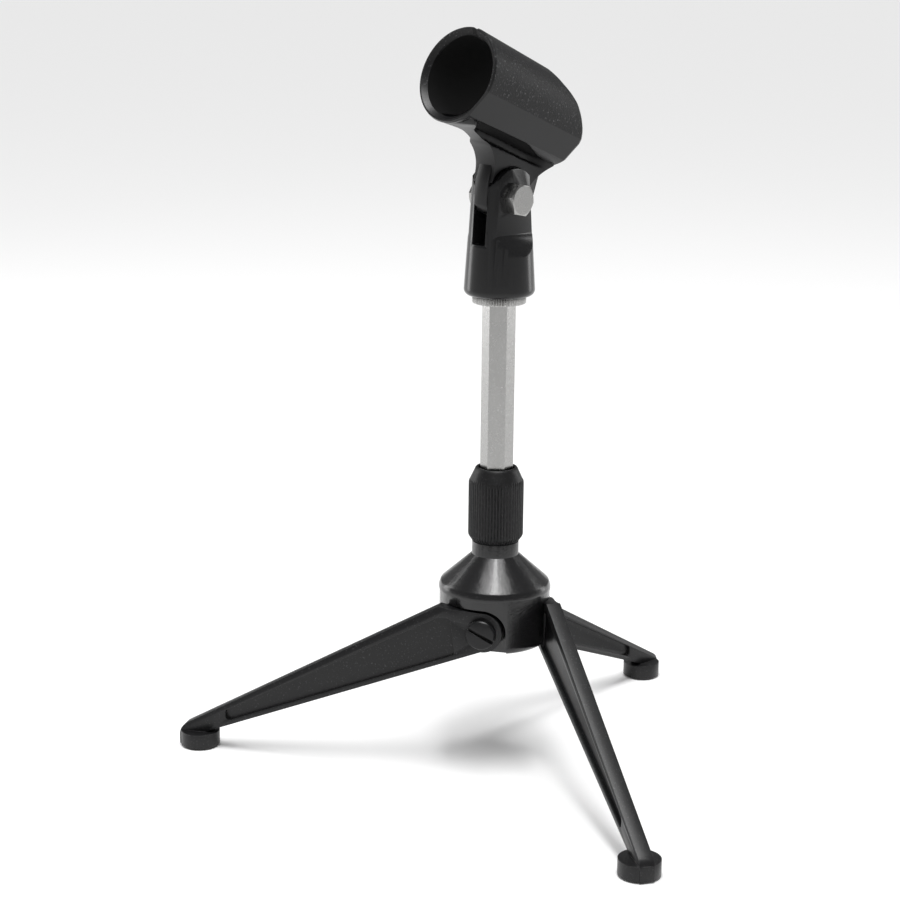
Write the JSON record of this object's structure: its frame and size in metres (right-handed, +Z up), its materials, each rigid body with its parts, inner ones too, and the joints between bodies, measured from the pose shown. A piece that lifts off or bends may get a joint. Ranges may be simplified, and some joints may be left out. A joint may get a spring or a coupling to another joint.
{
  "type": "desktop microphone stand",
  "caption": "Folding tabletop microphone stand: cast hub with hinged I-section legs, clutch on a hexagon rod, and a tilting split tube holder.",
  "frame": {"origin": "on the stand's axis at floor level", "axes": "+Z up along the rod, +X along the pivot bolt to its head, holder opens toward -Y"},
  "size_m": [0.1958, 0.1853, 0.2576],
  "materials": {
    "black_enamel": "gloss",
    "black_casting": "satin",
    "bright_nickel": "polished",
    "black_knurl": "satin knurled",
    "black_nylon": "fine grain",
    "gloss_plastic": "gloss",
    "brass": "machined",
    "black_steel": "black oxide",
    "zinc_steel": "zinc plated",
    "rubber": "matt",
    "fibre": "fibre"
  },
  "bodies": {
    "hub_body": {"hub": "black_enamel", "clutch_collet": "black_nylon", "pivot_screw_1": "black_steel", "pivot_screw_2": "black_steel", "pivot_screw_3": "black_steel"},
    "sleeve_body": {"clutch_sleeve": "black_knurl"},
    "rod_body": {"rod": "bright_nickel", "rod_stop_washer": "zinc_steel", "rod_stop_screw": "zinc_steel", "thread_stud": "zinc_steel"},
    "ring_body": {"lock_ring": "bright_nickel"},
    "clip_body": {"clip_base": "gloss_plastic", "thread_insert": "brass", "pivot_bolt": "bright_nickel", "pivot_nut": "bright_nickel"},
    "holder_body": {"mic_holder": "black_nylon"},
    "leg_1_body": {"leg_1": "black_casting", "foot_pad_1": "rubber", "friction_washer_1": "fibre"},
    "leg_2_body": {"leg_2": "black_casting", "foot_pad_2": "rubber", "friction_washer_2": "fibre"},
    "leg_3_body": {"leg_3": "black_casting", "foot_pad_3": "rubber", "friction_washer_3": "fibre"}
  },
  "joints": [
    {"name": "leg_1_fold", "type": "hinge", "parent": "hub_body", "child": "leg_1_body", "pos_m": [-0.0166, 0, 0.0527], "axis": [-1, 0, 0], "range_deg": [0, 64.8]},
    {"name": "leg_2_fold", "type": "hinge", "parent": "hub_body", "child": "leg_2_body", "pos_m": [0.0083, -0.01438, 0.0527], "axis": [0.5, -0.866, 0], "range_deg": [0, 64.8]},
    {"name": "leg_3_fold", "type": "hinge", "parent": "hub_body", "child": "leg_3_body", "pos_m": [0.0083, 0.01438, 0.0527], "axis": [0.5, 0.866, 0], "range_deg": [0, 64.8]},
    {"name": "clutch_twist", "type": "hinge", "parent": "hub_body", "child": "sleeve_body", "pos_m": [0, 0, 0.09], "axis": [0, 0, 1], "range_deg": [0, 180]},
    {"name": "rod_slide", "type": "slide", "parent": "hub_body", "child": "rod_body", "axis": [0, 0, 1], "range_m": [-0.05, 0.008]},
    {"name": "lock_ring_turn", "type": "hinge", "parent": "rod_body", "child": "ring_body", "pos_m": [0, 0, 0.166], "axis": [0, 0, 1], "range_deg": [-180, 180]},
    {"name": "clip_swivel", "type": "hinge", "parent": "rod_body", "child": "clip_body", "pos_m": [0, 0, 0.175], "axis": [0, 0, 1], "range_deg": [-180, 180]},
    {"name": "holder_tilt", "type": "hinge", "parent": "clip_body", "child": "holder_body", "pos_m": [0, 0, 0.2006], "axis": [-1, 0, 0], "range_deg": [-25, 36]}
  ]
}
